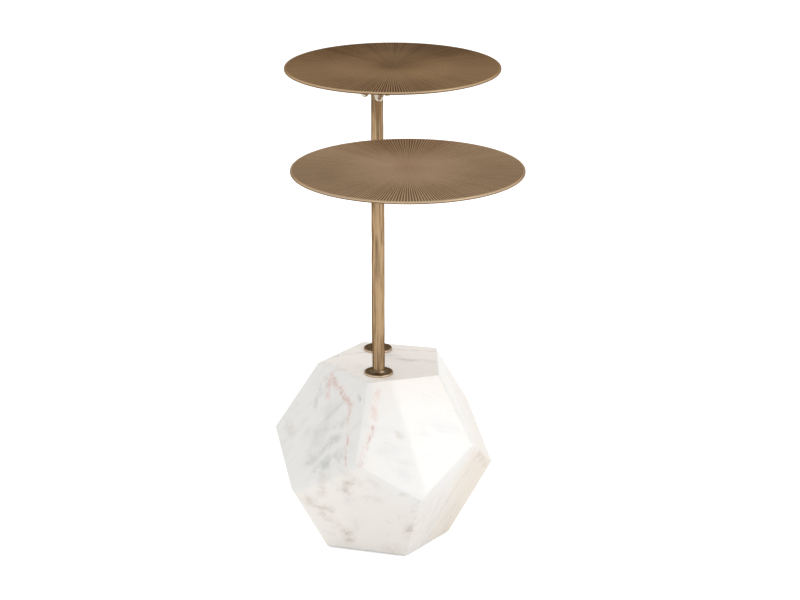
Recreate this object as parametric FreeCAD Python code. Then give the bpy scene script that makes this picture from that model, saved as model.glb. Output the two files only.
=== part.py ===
"""Side table: a faceted marble block carries two forged posts, each with a fluted round top."""
import FreeCAD, Part
import math
import os
from collections import namedtuple
from FreeCAD import Placement, Rotation, Vector

# Heights of the two tops above the floor
UPPER_HEIGHT = 533.0
LOWER_HEIGHT = 481.5

# Stone block: five facets lean in towards the top and five lean in towards the floor.
# The reach is a facet's distance from the axis at half height, and the top or foot reach is where
# it ends. The stone is cut by hand, so each facet stands in or out by a small share of the reach
# and is turned a little.
STONE_HEIGHT = 214.0
STONE_SIDES = 5
UPPER_FACET_REACH = 116.3
UPPER_FACET_TOP_REACH = 61.4
LOWER_FACET_REACH = 111.9
LOWER_FACET_FOOT_REACH = 62.9
UPPER_FACET_STEP_SHARES = (0.003, -0.010, -0.015, 0.001, 0.018)
LOWER_FACET_STEP_SHARES = (-0.004, -0.003, 0.0, 0.014, -0.010)
UPPER_FACET_TURN_ANGLES = (0.0, 2.7, 0.0, 3.4, -1.1)
LOWER_FACET_TURN_ANGLES = (0.0, -1.1, 0.0, -3.7, 0.0)
STONE_EDGE_BEVEL = 1.2

# Felt sheet under the stone
FELT_THICKNESS = 1.5
FELT_INSET = 4.0

# Posts: forged bars with hammered flats, side by side across the stone
POST_SPACING = 81.4
POST_SIDE_SHIFT = -6.7
POST_DIAMETER = 14.4
POST_SIDES = 10
HAMMER_PITCH = 17.0
HAMMER_DEPTH_SHARE = 0.10
HAMMER_SIDE_ANGLE = 2.4
HAMMER_RING_ANGLE = 1.9

# Rosette welded to the foot of each post, and the weld fillets at both ends of a post
ROSETTE_DIAMETER = 33.0
ROSETTE_THICKNESS = 2.5
ROSETTE_EDGE_BEVEL = 1.1
WELD_LEG = 2.0
WELD_GAP = 0.05

# Tie rod through the stone, with its nut and washers in a recess underneath
ROD_DIAMETER = 8.0
ROD_GRIP = 24.0
ROD_TAIL = 4.0
ROD_STONE_GAP = 1.5
THREAD_GAP = 0.1
RECESS_DIAMETER = 28.0
RECESS_DEPTH = 24.0
PLATE_WASHER_DIAMETER = 24.0
PLATE_WASHER_THICKNESS = 2.0
SPRING_WASHER_DIAMETER = 14.8
SPRING_WASHER_THICKNESS = 2.0
SPRING_WASHER_SLIT = 1.2
HEX_NUT_FLATS = 13.0
HEX_NUT_HEIGHT = 6.5

# Tops: thin plates with radial flutes that fade out towards the centre
TOP_DIAMETER = 254.0
TOP_THICKNESS = 3.2
TOP_EDGE_BEVEL = 1.1
RIM_TO_POST = 34.2
UPPER_TOP_SWING_ANGLE = 11.9
LOWER_TOP_SWING_ANGLE = 19.5
FLUTE_COUNT = 240
FLUTE_DEPTH = 0.8
FLUTE_WIDTH_SHARE = 0.82
FLUTE_START_RADIUS = 11.0
RIM_LAND = 2.0

# Fixing of a top: studs under it pass a three-cornered plate and take lock washers and cap nuts
STUD_COUNT = 3
STUD_DIAMETER = 6.0
STUD_CIRCLE_DIAMETER = 30.0
STUD_TURN_ANGLE = 20.0
STUD_TAIL = 6.0
PLATE_THICKNESS = 2.5
PLATE_CORNER_RADIUS = 6.5
PLATE_HOLE_GAP = 0.25
LOCK_WASHER_DIAMETER = 11.4
LOCK_WASHER_THICKNESS = 0.5
CAP_NUT_FLATS = 10.0
CAP_NUT_HEX_HEIGHT = 4.0
CAP_NUT_HEIGHT = 9.5
CAP_NUT_DOME_DIAMETER = 9.5
CAP_NUT_DOME_BANDS = 4
CAP_NUT_BORE_DEPTH = 6.5

# Every cut runs past the face that it opens by this much
OVERRUN = 0.06

HEX_SIDES = 6
FULL_TURN = 360.0
QUARTER_TURN = 90.0
UP = Vector(0, 0, 1)
AXIS_POINT = Vector(0, 0, 0)

STONE_MIDDLE = FELT_THICKNESS + STONE_HEIGHT / 2
STONE_TOP = FELT_THICKNESS + STONE_HEIGHT
TOP_OFFSET = TOP_DIAMETER / 2 - RIM_TO_POST
POST_FOOT = STONE_TOP + ROSETTE_THICKNESS
RECESS_ROOF = FELT_THICKNESS + RECESS_DEPTH

# A stand is one post with its top: where its axis is, how high its top is and where that points
Stand = namedtuple("Stand", "side tier axis height heading phase")
STANDS = (
    Stand("rear", "upper", Vector(POST_SIDE_SHIFT, POST_SPACING / 2, 0), UPPER_HEIGHT,
          QUARTER_TURN - UPPER_TOP_SWING_ANGLE, 0.0),
    Stand("front", "lower", Vector(POST_SIDE_SHIFT, -POST_SPACING / 2, 0), LOWER_HEIGHT,
          LOWER_TOP_SWING_ANGLE - QUARTER_TURN, 2.0),
)


def polar(radius, angle, height=0):
    """Point at a radius and an angle in degrees round the Z axis."""
    turn = math.radians(angle)
    return Vector(radius * math.cos(turn), radius * math.sin(turn), height)


def disc(diameter, height, base):
    """Upright cylinder on the Z axis that starts at the level base."""
    return Part.makeCylinder(diameter / 2, height, Vector(0, 0, base), UP)


def ring(outer, inner, height, base):
    """Flat ring on the Z axis."""
    return disc(outer, height, base).cut(disc(inner, height, base))


def closed_wire(points):
    """Closed polygon through the points."""
    return Part.makePolygon(list(points) + [points[0]])


def hexagon(flats, height, base):
    """Hexagonal prism on the Z axis, given across its flats."""
    corner = flats / 2 / math.cos(math.pi / HEX_SIDES)
    step = FULL_TURN / HEX_SIDES
    outline = closed_wire([polar(corner, step * side, base) for side in range(HEX_SIDES)])
    return Part.Face(outline).extrude(UP * height)


def round_about(shape, count, first_angle):
    """Copies of a shape spaced evenly round the Z axis, as one group of separate solids."""
    copies = []
    for index in range(count):
        angle = first_angle + FULL_TURN / count * index
        copies.append(shape.rotated(AXIS_POINT, UP, angle))
    return Part.makeCompound(copies)


def facet_corners(reaches, angles, height):
    """Corners of an outline whose sides face outwards at these angles, each at its own reach."""
    corners = []
    for side, reach in enumerate(reaches):
        following = (side + 1) % len(reaches)
        step = math.radians(angles[following] - angles[side])
        along = (reaches[following] - reach * math.cos(step)) / math.sin(step)
        corners.append(polar(reach, angles[side], height) + polar(along, angles[side] + QUARTER_TURN))
    return corners


def tapered_block(bottom, top):
    """Solid between two outlines with as many corners, closed by one flat face per side."""
    outlines = [bottom, top]
    for side in range(len(bottom)):
        following = (side + 1) % len(bottom)
        outlines.append([bottom[side], bottom[following], top[following], top[side]])
    return Part.makeSolid(Part.makeShell([Part.Face(closed_wire(outline)) for outline in outlines]))


def facet_reaches(reach, end_reach, step_shares, rise):
    """Distances of a ring of facets from the axis, at a rise from half height towards their end."""
    drawn_in = (reach - end_reach) * rise / (STONE_HEIGHT / 2)
    return [reach + reach * share - drawn_in for share in step_shares]


def facet_angles(first_angle, turn_angles):
    """Directions that a ring of facets faces: evenly spaced, but for a small turn of each."""
    step = FULL_TURN / STONE_SIDES
    return [first_angle + step * side + turn for side, turn in enumerate(turn_angles)]


def upper_outline(rise):
    """Outline of the facets that lean in towards the top, at a rise above half height."""
    reaches = facet_reaches(UPPER_FACET_REACH, UPPER_FACET_TOP_REACH, UPPER_FACET_STEP_SHARES, rise)
    return facet_corners(reaches, facet_angles(0, UPPER_FACET_TURN_ANGLES), STONE_MIDDLE + rise)


def lower_outline(rise, inset=0):
    """Outline of the facets that lean in towards the floor, half a step round, drawn in by an inset."""
    reaches = facet_reaches(LOWER_FACET_REACH, LOWER_FACET_FOOT_REACH, LOWER_FACET_STEP_SHARES, -rise)
    angles = facet_angles(-FULL_TURN / STONE_SIDES / 2, LOWER_FACET_TURN_ANGLES)
    return facet_corners([reach - inset for reach in reaches], angles, STONE_MIDDLE + rise)


def marble_base():
    """Dodecahedron: what two tapered blocks share, one upside down and half a step round."""
    half = STONE_HEIGHT / 2
    upper = tapered_block(upper_outline(-half), upper_outline(half))
    lower = tapered_block(lower_outline(-half), lower_outline(half))
    block = upper.common(lower)
    block = block.makeChamfer(STONE_EDGE_BEVEL, block.Edges)
    for stand in STANDS:
        bore = disc(ROD_DIAMETER + 2 * ROD_STONE_GAP, STONE_TOP + OVERRUN, 0)
        recess = disc(RECESS_DIAMETER, RECESS_ROOF, 0)
        block = block.cut(bore.fuse(recess).translated(stand.axis))
    return block


def base_felt():
    """Felt sheet a little smaller than the stone's underside, open below each nut."""
    outline = closed_wire(lower_outline(-STONE_HEIGHT / 2, FELT_INSET))
    sheet = Part.Face(outline).extrude(UP * -FELT_THICKNESS)
    for stand in STANDS:
        hole = disc(RECESS_DIAMETER, FELT_THICKNESS + 2 * OVERRUN, -OVERRUN)
        sheet = sheet.cut(hole.translated(stand.axis))
    return sheet


def plate_underside(stand):
    """Level where the post ends against its mount plate."""
    return stand.height - TOP_THICKNESS - PLATE_THICKNESS


def hammer_mark(side, ring_index, phase):
    """How deep the hammer struck at one corner of one ring, from nothing to one."""
    return (1 + math.sin(HAMMER_SIDE_ANGLE * side + HAMMER_RING_ANGLE * ring_index + phase)) / 2


def post(stand):
    """Forged bar: many-sided rings, struck unevenly between two true ends, with a tapped foot."""
    length = plate_underside(stand) - POST_FOOT
    rings = max(2, round(length / HAMMER_PITCH))
    wires = []
    for index in range(rings + 1):
        at_end = index in (0, rings)
        corners = []
        for side in range(POST_SIDES):
            struck = 0 if at_end else HAMMER_DEPTH_SHARE * hammer_mark(side, index, stand.phase)
            radius = POST_DIAMETER / 2 * (1 - struck)
            corners.append(polar(radius, FULL_TURN / POST_SIDES * side, POST_FOOT + length * index / rings))
        wires.append(closed_wire(corners))
    bar = Part.makeLoft(wires, True, True)
    tapped = disc(ROD_DIAMETER + 2 * THREAD_GAP, ROD_GRIP + THREAD_GAP + OVERRUN, POST_FOOT - OVERRUN)
    return bar.cut(tapped)


def weld_fillet(level, direction):
    """Ring of weld in the corner between a post and the plate at its end."""
    inner = POST_DIAMETER / 2 + WELD_GAP
    tip = level + direction * WELD_LEG
    corners = [Vector(inner, 0, level), Vector(inner + WELD_LEG, 0, level), Vector(inner, 0, tip)]
    return Part.Face(closed_wire(corners)).revolve(AXIS_POINT, UP, FULL_TURN)


def rosette():
    """Round foot plate with a bevelled upper edge, a rod hole and the weld round the post."""
    plate = disc(ROSETTE_DIAMETER, ROSETTE_THICKNESS, STONE_TOP)
    rim = [edge for edge in plate.Edges if edge.isClosed() and edge.BoundBox.ZMin > STONE_TOP]
    plate = plate.makeChamfer(ROSETTE_EDGE_BEVEL, rim)
    hole = disc(ROD_DIAMETER + 2 * THREAD_GAP, ROSETTE_THICKNESS + 2 * OVERRUN, STONE_TOP - OVERRUN)
    return plate.fuse(weld_fillet(POST_FOOT, 1)).cut(hole)


def washer_stack():
    """Undersides, from the recess roof down, of the broad washer, split washer, nut and rod."""
    broad = RECESS_ROOF - PLATE_WASHER_THICKNESS
    split = broad - SPRING_WASHER_THICKNESS
    nut = split - HEX_NUT_HEIGHT
    return broad, split, nut, nut - ROD_TAIL


def tie_rod():
    """Threaded rod from below the nut up into the post's foot."""
    tail = washer_stack()[3]
    return disc(ROD_DIAMETER, POST_FOOT + ROD_GRIP - tail, tail)


def plate_washer():
    """Broad washer that spreads the nut's load on the stone."""
    level = washer_stack()[0]
    return ring(PLATE_WASHER_DIAMETER, ROD_DIAMETER + 2 * THREAD_GAP, PLATE_WASHER_THICKNESS, level)


def spring_washer():
    """Split washer."""
    level = washer_stack()[1]
    whole = ring(SPRING_WASHER_DIAMETER, ROD_DIAMETER + 2 * THREAD_GAP, SPRING_WASHER_THICKNESS, level)
    slit = Part.makeBox(SPRING_WASHER_DIAMETER, SPRING_WASHER_SLIT, SPRING_WASHER_THICKNESS,
                        Vector(0, -SPRING_WASHER_SLIT / 2, level))
    return whole.cut(slit)


def hex_nut():
    """Nut that draws the post down on the stone."""
    level = washer_stack()[2]
    return hexagon(HEX_NUT_FLATS, HEX_NUT_HEIGHT, level).cut(
        disc(ROD_DIAMETER + 2 * THREAD_GAP, HEX_NUT_HEIGHT, level))


def flute_cutter(height):
    """Wedge for one flute: it deepens and widens from its start out to the plain land at the rim."""
    end = TOP_DIAMETER / 2 - RIM_LAND
    half_width = math.pi * end / FLUTE_COUNT * FLUTE_WIDTH_SHARE
    proud = OVERRUN / FLUTE_DEPTH
    top = height + OVERRUN
    tip = Vector(FLUTE_START_RADIUS - proud * (end - FLUTE_START_RADIUS), 0, top)
    left = Vector(end, half_width * (1 + proud), top)
    right = Vector(end, -half_width * (1 + proud), top)
    valley = Vector(end, 0, height - FLUTE_DEPTH)
    triangles = ((tip, right, left), (tip, left, valley), (tip, valley, right), (left, right, valley))
    faces = [Part.Face(closed_wire(triangle)) for triangle in triangles]
    return Part.makeSolid(Part.makeShell(faces))


def top_plate(stand):
    """Round plate with bevelled edges and radial flutes, off centre on its post."""
    plate = disc(TOP_DIAMETER, TOP_THICKNESS, stand.height - TOP_THICKNESS)
    rims = [edge for edge in plate.Edges if edge.isClosed()]
    plate = plate.makeChamfer(TOP_EDGE_BEVEL, rims)
    fluted = plate.cut(round_about(flute_cutter(stand.height), FLUTE_COUNT, 0))
    return fluted.translated(Vector(TOP_OFFSET, 0, 0))


def stud_places(level):
    """Where the studs stand round the post, at a level."""
    step = FULL_TURN / STUD_COUNT
    first = FULL_TURN / 2 + STUD_TURN_ANGLE
    return [polar(STUD_CIRCLE_DIAMETER / 2, first + step * index, level) for index in range(STUD_COUNT)]


def at_studs(shape):
    """One copy of a shape at every stud, as one group of separate solids."""
    return Part.makeCompound([shape.translated(place) for place in stud_places(0)])


def studs(stand):
    """Threaded studs welded under the top."""
    length = PLATE_THICKNESS + LOCK_WASHER_THICKNESS + STUD_TAIL
    return at_studs(disc(STUD_DIAMETER, length, stand.height - TOP_THICKNESS - length))


def mount_plate(stand):
    """Three-cornered plate with rounded corners and a hole for each stud, welded to the post's head."""
    level = plate_underside(stand)
    corners = [disc(2 * PLATE_CORNER_RADIUS, PLATE_THICKNESS, level).translated(place)
               for place in stud_places(0)]
    outline = Part.Face(closed_wire(stud_places(level))).makeOffset2D(PLATE_CORNER_RADIUS)
    plate = outline.extrude(UP * PLATE_THICKNESS).fuse(corners).removeSplitter()
    hole = disc(STUD_DIAMETER + 2 * PLATE_HOLE_GAP, PLATE_THICKNESS + 2 * OVERRUN, level - OVERRUN)
    return plate.cut(at_studs(hole)).fuse(weld_fillet(level, -1))


def lock_washers(stand):
    """Thin washers under the mount plate."""
    level = plate_underside(stand) - LOCK_WASHER_THICKNESS
    hole_diameter = STUD_DIAMETER + 2 * PLATE_HOLE_GAP
    return at_studs(ring(LOCK_WASHER_DIAMETER, hole_diameter, LOCK_WASHER_THICKNESS, level))


def cap_nuts(stand):
    """Domed nuts that close over the studs."""
    seat = plate_underside(stand) - LOCK_WASHER_THICKNESS
    radius = CAP_NUT_DOME_DIAMETER / 2
    spring = seat - CAP_NUT_HEIGHT + radius
    outline = [Vector(0, 0, seat), Vector(radius, 0, seat)]
    for band in range(CAP_NUT_DOME_BANDS + 1):
        point = polar(radius, QUARTER_TURN * band / CAP_NUT_DOME_BANDS)
        outline.append(Vector(point.x, 0, spring - point.y))
    cap = Part.Face(closed_wire(outline)).revolve(AXIS_POINT, UP, FULL_TURN)
    body = hexagon(CAP_NUT_FLATS, CAP_NUT_HEX_HEIGHT, seat - CAP_NUT_HEX_HEIGHT).fuse(cap)
    bore = disc(STUD_DIAMETER + 2 * THREAD_GAP, CAP_NUT_BORE_DEPTH + OVERRUN, seat - CAP_NUT_BORE_DEPTH)
    return at_studs(body.cut(bore))


def stand_pieces(stand):
    """Every piece of one stand, built round the Z axis and then turned and moved to its place."""
    pieces = {
        stand.side + "_tie_rod": tie_rod(),
        stand.side + "_plate_washer": plate_washer(),
        stand.side + "_spring_washer": spring_washer(),
        stand.side + "_hex_nut": hex_nut(),
        stand.side + "_rosette": rosette(),
        stand.side + "_post": post(stand),
        stand.tier + "_mount_plate": mount_plate(stand),
        stand.tier + "_lock_washers": lock_washers(stand),
        stand.tier + "_cap_nuts": cap_nuts(stand),
        stand.tier + "_studs": studs(stand),
        stand.tier + "_top": top_plate(stand),
    }
    place = Placement(stand.axis, Rotation(UP, stand.heading))
    return {name: shape.transformed(place.toMatrix()) for name, shape in pieces.items()}


nodes = {"marble_base": marble_base(), "base_felt": base_felt()}
for each_stand in STANDS:
    nodes.update(stand_pieces(each_stand))

os.makedirs("parts", exist_ok=True)
for name, shape in nodes.items():
    shape.exportStep("parts/" + name + ".step")
    print(name, len(shape.Solids), round(shape.Volume), shape.isValid())
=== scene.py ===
import math

import bmesh
import bpy
from mathutils import Matrix, Quaternion, Vector


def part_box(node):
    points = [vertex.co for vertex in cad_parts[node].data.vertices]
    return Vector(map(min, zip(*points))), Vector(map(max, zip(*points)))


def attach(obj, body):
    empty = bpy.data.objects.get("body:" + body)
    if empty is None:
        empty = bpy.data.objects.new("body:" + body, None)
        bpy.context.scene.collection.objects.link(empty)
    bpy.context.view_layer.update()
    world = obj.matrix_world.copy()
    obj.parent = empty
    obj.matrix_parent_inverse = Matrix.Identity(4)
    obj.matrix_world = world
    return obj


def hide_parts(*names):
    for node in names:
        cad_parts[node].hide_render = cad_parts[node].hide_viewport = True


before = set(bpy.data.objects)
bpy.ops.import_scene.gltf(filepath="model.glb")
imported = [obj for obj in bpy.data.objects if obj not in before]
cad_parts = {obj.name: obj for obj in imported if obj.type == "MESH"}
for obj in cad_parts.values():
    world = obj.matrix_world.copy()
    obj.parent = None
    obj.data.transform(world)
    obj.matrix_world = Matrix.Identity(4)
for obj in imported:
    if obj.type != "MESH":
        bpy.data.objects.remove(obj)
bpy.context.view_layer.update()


# Felt sheet: pressed grey wool, 1.5 mm thick, cut to the stone's foot and glued under it so that the stone
# can't scratch a floor. Two round holes leave room for a spanner, and the cut edges are furred and pale.

FELT_GREY = (74, 74, 77)
FELT_LINT = (150, 150, 153)
FIBRES_PER_METRE = 900
LINT_SPAN = (0.45, 0.75)
LINT_SHARE = 0.6
FELT_RELIEF = 0.0004
FELT_EDGE = 0.0004
EDGE_STEPS = 2
WELD_GAP = 1e-6
FLAT_ANGLE = math.radians(0.5)
SHARP_ANGLE = math.radians(40)


def paint(red, green, blue):
    """Colour in 0 to 255 as a swatch shows it, turned to the linear light that a shader works in."""
    linear = [(part / 255 / 12.92) if part < 11 else ((part / 255 + 0.055) / 1.055) ** 2.4
              for part in (red, green, blue)]
    return (*linear, 1.0)


def feed(tree, node, inputs):
    """Sets or links the inputs of a node, by name or by place."""
    sockets = [socket for socket in node.inputs if socket.enabled]
    for key, value in inputs.items():
        socket = sockets[key] if isinstance(key, int) else next(s for s in sockets if s.name == key)
        if isinstance(value, bpy.types.NodeSocket):
            tree.links.new(value, socket)
        else:
            socket.default_value = value


def add(tree, kind, inputs=None, **settings):
    """Adds a node with its settings and inputs, and gives its first output in use."""
    node = tree.nodes.new(kind)
    for name, value in settings.items():
        setattr(node, name, value)
    feed(tree, node, inputs or {})
    return next(socket for socket in node.outputs if socket.enabled)


def calc(tree, operation, *values, **settings):
    """One step of arithmetic on numbers."""
    return add(tree, "ShaderNodeMath", dict(enumerate(values)), operation=operation, **settings)


def times(tree, first, *others):
    """Product of all these numbers."""
    for other in others:
        first = calc(tree, "MULTIPLY", first, other)
    return first


def minus(tree, first, second):
    """Difference of two numbers."""
    return calc(tree, "SUBTRACT", first, second)


def split(tree, vector):
    """The X, Y and Z of a vector."""
    return add(tree, "ShaderNodeSeparateXYZ", {0: vector}).node.outputs


def between(tree, value, low, high):
    """Soft step from 0 at low to 1 at high."""
    return add(tree, "ShaderNodeMapRange", {"Value": value, "From Min": low, "From Max": high},
               interpolation_type="SMOOTHSTEP")


def blend(tree, share, first, second):
    """Colour that goes from the first to the second as the share goes from 0 to 1."""
    return add(tree, "ShaderNodeMix", {"Factor": share, "A": first, "B": second}, data_type="RGBA")


def noise(tree, place, scale, detail=3.0, roughness=0.5, distortion=0.0):
    """Cloudy values from 0 to 1."""
    return add(tree, "ShaderNodeTexNoise", {"Vector": place, "Scale": scale, "Detail": detail,
                                            "Roughness": roughness, "Distortion": distortion})


def new_finish(name):
    """Material with one Principled shader: the material, its tree and that shader."""
    material = bpy.data.materials.new(name)
    material.use_nodes = True
    return material, material.node_tree, material.node_tree.nodes["Principled BSDF"]


def spot_on(tree):
    """Place on the piece, in metres."""
    return add(tree, "ShaderNodeTexCoord").node.outputs["Object"]


def felt_finish():
    """Felt: dark fibres with some pale lint, and a pale cut edge all round."""
    material, tree, shader = new_finish("pressed_felt")
    fibres = noise(tree, spot_on(tree), FIBRES_PER_METRE, detail=6.0, roughness=0.7, distortion=1.5)
    facing = add(tree, "ShaderNodeNewGeometry").node.outputs["Normal"]
    cut_edge = minus(tree, 1.0, calc(tree, "ABSOLUTE", split(tree, facing)["Z"]))
    loose = times(tree, between(tree, fibres, *LINT_SPAN), LINT_SHARE)
    lint = calc(tree, "MAXIMUM", loose, cut_edge)
    colour = blend(tree, lint, paint(*FELT_GREY), paint(*FELT_LINT))
    furred = add(tree, "ShaderNodeBump", {"Height": fibres, "Distance": FELT_RELIEF, "Strength": 1.0})
    feed(tree, shader, {"Base Color": colour, "Roughness": 0.95, "Sheen Weight": 0.3, "Normal": furred})
    return material


def finished_mesh(name, shape):
    """Mesh of a shape that needs no more work."""
    mesh = bpy.data.meshes.new(name)
    shape.to_mesh(mesh)
    shape.free()
    return mesh


def link_piece(name, data=None):
    """New object in the scene, with this mesh, lamp or lens, or with an empty mesh to be filled."""
    piece = bpy.data.objects.new(name, data or bpy.data.meshes.new(name))
    bpy.context.scene.collection.objects.link(piece)
    return piece


def settle(piece):
    """Applies the modifiers of a piece, so that its mesh is the finished shape."""
    evaluated = piece.evaluated_get(bpy.context.evaluated_depsgraph_get())
    mesh = bpy.data.meshes.new_from_object(evaluated)
    piece.modifiers.clear()
    piece.data = mesh
    return piece


def polish_edges(piece):
    """Smooth shading with flat faces kept flat and sharp edges kept sharp."""
    piece.data.shade_smooth()
    piece.data.set_sharp_from_angle(angle=SHARP_ANGLE)
    weighted = piece.modifiers.new("Flat faces", "WEIGHTED_NORMAL")
    weighted.keep_sharp = True
    weighted.weight = 100
    settle(piece)


def welded(node_name):
    """Shape of a solid with its facets joined at their corners."""
    shape = bmesh.new()
    shape.from_mesh(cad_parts[node_name].data)
    bmesh.ops.remove_doubles(shape, verts=shape.verts[:], dist=WELD_GAP)
    return shape


def softened(name, node_name, width):
    """Copy of a solid with its flat facets made one and its edges a little rounded."""
    shape = welded(node_name)
    bmesh.ops.dissolve_limit(shape, angle_limit=FLAT_ANGLE, verts=shape.verts[:], edges=shape.edges[:])
    piece = link_piece(name, finished_mesh(name, shape))
    rounding = piece.modifiers.new("Rounding", "BEVEL")
    rounding.width = width
    rounding.segments = EDGE_STEPS
    rounding.limit_method = "ANGLE"
    rounding.angle_limit = SHARP_ANGLE
    settle(piece)
    polish_edges(piece)
    return piece


def coat(mesh, material):
    """Gives a mesh its finish."""
    mesh.materials.clear()
    mesh.materials.append(material)


def mount(piece, slot_name, material, *nodes):
    """Makes a finished piece stand for its solids and stay with the table."""
    coat(piece.data, material)
    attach(piece, "root")
    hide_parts(*nodes)


felt = softened("felt_sheet", "base_felt", FELT_EDGE)
mount(felt, "felt", felt_finish(), "base_felt")


# Stone: one block of white marble, sawn to a dodecahedron and polished, with eased edges.
# Grey beds cross it nearly upright, rust and brown veins run along old cracks, and the block is bored
# from below for the two tie rods and their nuts.

FACETS = 12
SAWN_FROM_SIZE = 1.0
STONE_EDGE_EASE = 0.0016
EASE_STEPS = 3
RECESS_ROOM = 0.002
BORE_STEPS = 64
STONE_WARM = (249, 245, 239)
# Painted highlight: a whiter spot on the front right of the stone
STONE_PAINTED_HIGHLIGHT = (250, 249, 247)
# Painted shade: the left upper side of the stone is cooler and greyer, with more grey beds
STONE_PAINTED_SHADE = (240, 239, 236)
# Peach towards the right and lower sides: partly the stone's own tint and partly painted warm light
STONE_PEACH_AND_LIGHT = (243, 233, 220)
BED_GREY = (182, 188, 191)
BED_TILT_ANGLE = math.radians(-12.9)
SHADED_SIDE = (-0.688, -0.565, 0.457)
HIGHLIGHT_SPOT = (0.045, -0.115, 0.150)
PEACH_AND_LIT_SIDE = (0.931, 0.280, -0.233)
SHADED_SIDE_SPAN = (0.142, 0.151)
HIGHLIGHT_SPAN = (0.085, 0.05)
PEACH_AND_LIT_SPAN = (0.02, 0.07)
BED_STRETCH = (9.0, 65.0, 12.0)
BED_SPAN, BED_CLOUD_SPAN = (0.46, 0.76), (0.35, 0.6)
BED_SHARE, SHADED_SIDE_BED_SHARE = 0.2, 0.2
CLOUDS_PER_METRE = 14.0
SPECKS_PER_METRE = 60.0
SPECK_SPAN, SPECK_CLOUD_SPAN = (0.52, 0.72), (0.42, 0.62)
SPECK_SHARE = 0.35

# Veins that the photograph shows and, last in each set, those of the far sides: start, end and half width
# in millimetres, and strength
BLUSH = (240, 221, 214)
BLUSH_VEINS = (
    ((-61.3, -27.1, 209.6), (-66, -40.2, 186.3), 6, 0.9),
    ((-9, -74.7, 205), (-13.8, -89.9, 179.4), 6.5, 0.9),
    ((-13.9, -95.3, 169.4), (-32.2, -120.1, 133.5), 6, 0.5),
    ((-56, -40, 202), (-38, -72, 188), 6.5, 0.75),
    ((-38.5, -71.2, 189.3), (-45.7, -109.1, 131.5), 5, 0.55),
    ((-54.4, -26.8, 215.5), (-32.6, -37.2, 215.5), 5, 0.5),
    ((13.4, 40.3, 215.5), (61.2, 32.4, 215.5), 5, 0.5),
    ((107.3, -49.8, 118.6), (103, -52, 108), 7, 0.6),
    ((-36.9, 69.3, 194.2), (-68.1, 65.7, 149.1), 6, 0.8),
    ((-68.1, 65.7, 149.1), (-99.2, 52.8, 114.9), 6, 0.6),
    ((-99.2, 52.8, 114.9), (-98.1, 24.5, 78), 5, 0.5),
    ((96.6, 55.8, 147.6), (84.8, 66.2, 99.5), 6, 0.6),
)
BROWN = (190, 178, 160)
BROWN_VEINS = (
    ((-42.5, -101, 105), (-43.7, -93.8, 91), 8, 0.6),
    ((-89.8, -70.1, 72.7), (-78.4, -69.4, 63.6), 13, 0.42),
    ((-78.4, -69.4, 63.6), (-62, -72, 60), 8, 0.5),
    ((-74.4, -68.4, 58.9), (-44.2, -61.2, 23.4), 10, 0.33),
    ((-45.3, -63.8, 29.6), (-43, -59.3, 18.8), 10, 0.7),
    ((28.7, -97.6, 50), (28, -93.6, 42), 8, 0.6),
    ((17.3, -117.3, 98.5), (20, -117, 98), 5, 0.6),
    ((-72.2, -93.5, 109.5), (-73.5, -80.4, 83.1), 8, 0.35),
    ((-45.8, -106.3, 118.2), (-33.4, -104.6, 106.4), 9, 0.3),
    ((-19.9, -98.2, 84), (-9.7, -101.6, 84.1), 9, 0.3),
    ((-34.8, -76.4, 48.8), (-36, -69.8, 35.9), 7, 0.25),
    ((5.5, -71.4, 11.1), (22.7, -76.1, 9.3), 12, 0.25),
    ((15.1, -91.4, 160.4), (16.6, -92.6, 157.2), 6, 0.3),
    ((72.9, -54.1, 63.3), (109.7, -47.8, 120.2), 8, 0.25),
    ((107.3, -49.8, 118.6), (117.6, -11.8, 88.1), 6, 0.4),
    ((52.5, -44.7, 15.3), (82.2, -27.6, 45.7), 6, 0.25),
    ((-112.9, -15.4, 146.4), (-106.9, -28.5, 139.1), 9, 0.3),
    ((-18.3, 103.9, 92.2), (-29.5, 90.7, 72.3), 9, 0.5),
    ((-41.8, 78.6, 55.6), (-30.1, 74.6, 39.5), 9, 0.55),
    ((10.9, 104.1, 73), (-3.2, 92.3, 57.9), 10, 0.4),
    ((77.7, 65.2, 85.4), (68, 65.7, 68.8), 9, 0.5),
    ((87.2, 35.2, 65.1), (73.6, 42.5, 49.7), 8, 0.45),
    ((-98.7, -6.9, 74.8), (-89.9, -15.8, 54.3), 9, 0.5),
    ((-96.1, 35, 140.2), (-112.4, 23.9, 127.3), 8, 0.4),
)
GREY = (172, 175, 173)
GREY_VEINS = (
    ((-52.9, -82.6, 153.4), (-89.3, -67.5, 117.4), 9, 0.5),
    ((-49.7, -97.3, 140.2), (-78.9, -83.1, 113.8), 9, 0.5),
    ((-45.5, -77.8, 170.7), (-80, -54.3, 147.7), 7, 0.3),
    ((-60, -55, 175), (-85, -65, 125), 20, 0.2),
    ((-74.4, -25.4, 191.9), (-79.5, -33.6, 174.1), 6, 0.4),
    ((-28.9, -74.2, 200.1), (-28.9, -77.2, 196.4), 4.5, 0.6),
    ((-62.6, 14, 215.5), (-21.9, 30.5, 215.5), 5, 0.4),
    ((18.5, 5.6, 215.5), (59.9, -5.4, 215.5), 7, 0.35),
    ((-2, -111, 148), (25, -118, 120), 12, 0.15),
    ((43.3, 69.2, 180.5), (11.1, 105.2, 129.5), 9, 0.5),
    ((25.9, 71.3, 185.6), (-18.5, 104.6, 145.7), 8, 0.45),
    ((111.3, 27.8, 99), (58.6, 60.7, 45.7), 8, 0.4),
    ((-104.7, 22.2, 92), (-85.1, -24.4, 42.7), 9, 0.45),
    ((-70.1, 40.5, 174.9), (-104.7, 14.7, 149.7), 8, 0.4),
    ((26.6, 106.7, 118.6), (-26.3, 80.8, 49.7), 14, 0.2),
)
RUST = (206, 166, 154)
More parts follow.
